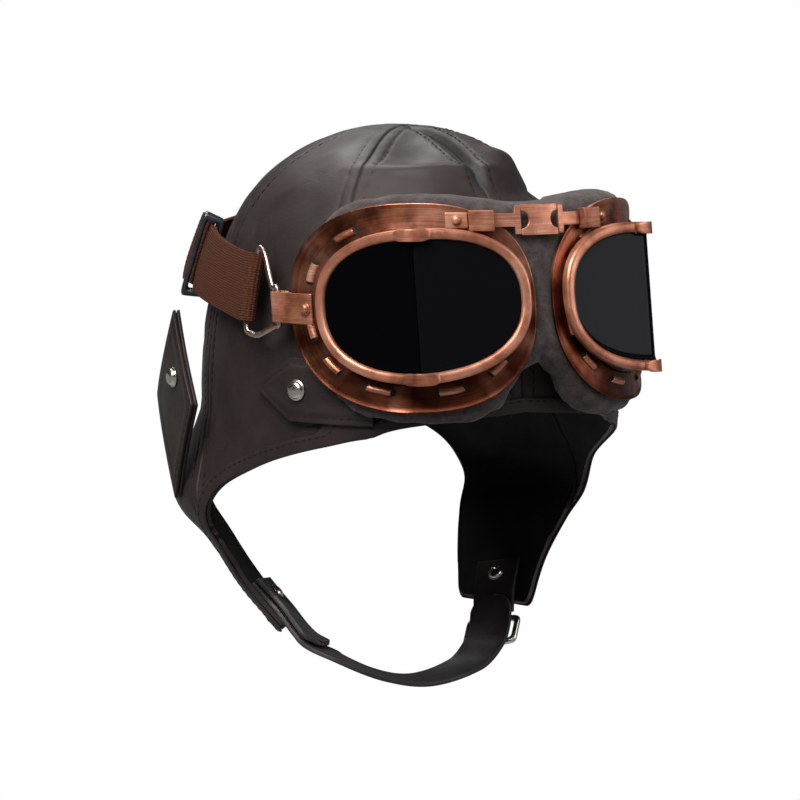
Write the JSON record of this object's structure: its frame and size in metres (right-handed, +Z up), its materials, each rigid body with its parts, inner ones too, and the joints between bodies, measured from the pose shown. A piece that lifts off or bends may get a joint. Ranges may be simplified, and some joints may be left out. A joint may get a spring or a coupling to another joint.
{
  "type": "leather flying helmet with goggles",
  "caption": "Close-fitting leather flying cap with ear flaps, a buckled chin strap and split-lens goggles strapped round it, held in its worn shape.",
  "frame": {"origin": "on the axis of the head at brow level, where the hem crosses the forehead", "axes": "+Z up; the wearer faces -Y; the wearer's right is -X"},
  "size_m": [0.1986, 0.2176, 0.2402],
  "materials": {
    "cap_leather": "dark brown, soft sheen",
    "strap_leather": "near-black, soft sheen",
    "pad_suede": "grey-brown pebbled",
    "copper": "brushed antique copper",
    "lens_glass": "dark, glossy",
    "strap_web": "brown knitted elastic",
    "slider_metal": "black gloss",
    "loop_metal": "satin, faintly pink",
    "nickel": "warm polished nickel"
  },
  "bodies": {
    "root": {"front_panel_right": "cap_leather", "front_panel_left": "cap_leather", "side_panel_right": "cap_leather", "side_panel_left": "cap_leather", "rear_panel_right": "cap_leather", "rear_panel_left": "cap_leather", "hem_binding": "cap_leather", "brow_tab_right": "cap_leather", "brow_tab_left": "cap_leather", "ear_cover_back_right": "cap_leather", "ear_cover_back_left": "cap_leather", "ear_cover_right": "cap_leather", "ear_cover_left": "cap_leather", "tab_snap_right": "nickel", "tab_snap_left": "nickel", "ear_snap_right": "nickel", "ear_snap_left": "nickel", "flap_rivet_right": "nickel", "flap_rivet_left": "nickel", "buckle_frame": "nickel", "buckle_prong": "nickel", "flange_right": "copper", "flange_left": "copper", "eye_cup_right": "copper", "eye_cup_left": "copper", "lens_rim_right": "copper", "lens_rim_left": "copper", "rim_clamp_top_right": "copper", "rim_clamp_top_left": "copper", "rim_clamp_bottom_right": "copper", "rim_clamp_bottom_left": "copper", "temple_clip_right": "copper", "temple_clip_left": "copper", "temple_rivet_right": "copper", "temple_rivet_left": "copper", "bridge_end_right": "copper", "bridge_end_left": "copper", "bridge_box_right": "copper", "bridge_box_left": "copper", "bridge_link_right": "copper", "bridge_link_left": "copper", "bridge_rivet_right": "copper", "bridge_rivet_left": "copper", "bridge_centre": "copper", "lens_inner_right": "lens_glass", "lens_inner_left": "lens_glass", "lens_outer_right": "lens_glass", "lens_outer_left": "lens_glass", "goggle_pad": "pad_suede", "goggle_strap": "strap_web", "strap_slider": "slider_metal", "strap_loop_right": "loop_metal", "strap_loop_left": "loop_metal", "chin_strap": "strap_leather", "chin_tab_right": "strap_leather", "chin_tab_left": "strap_leather"}
  },
  "joints": []
}
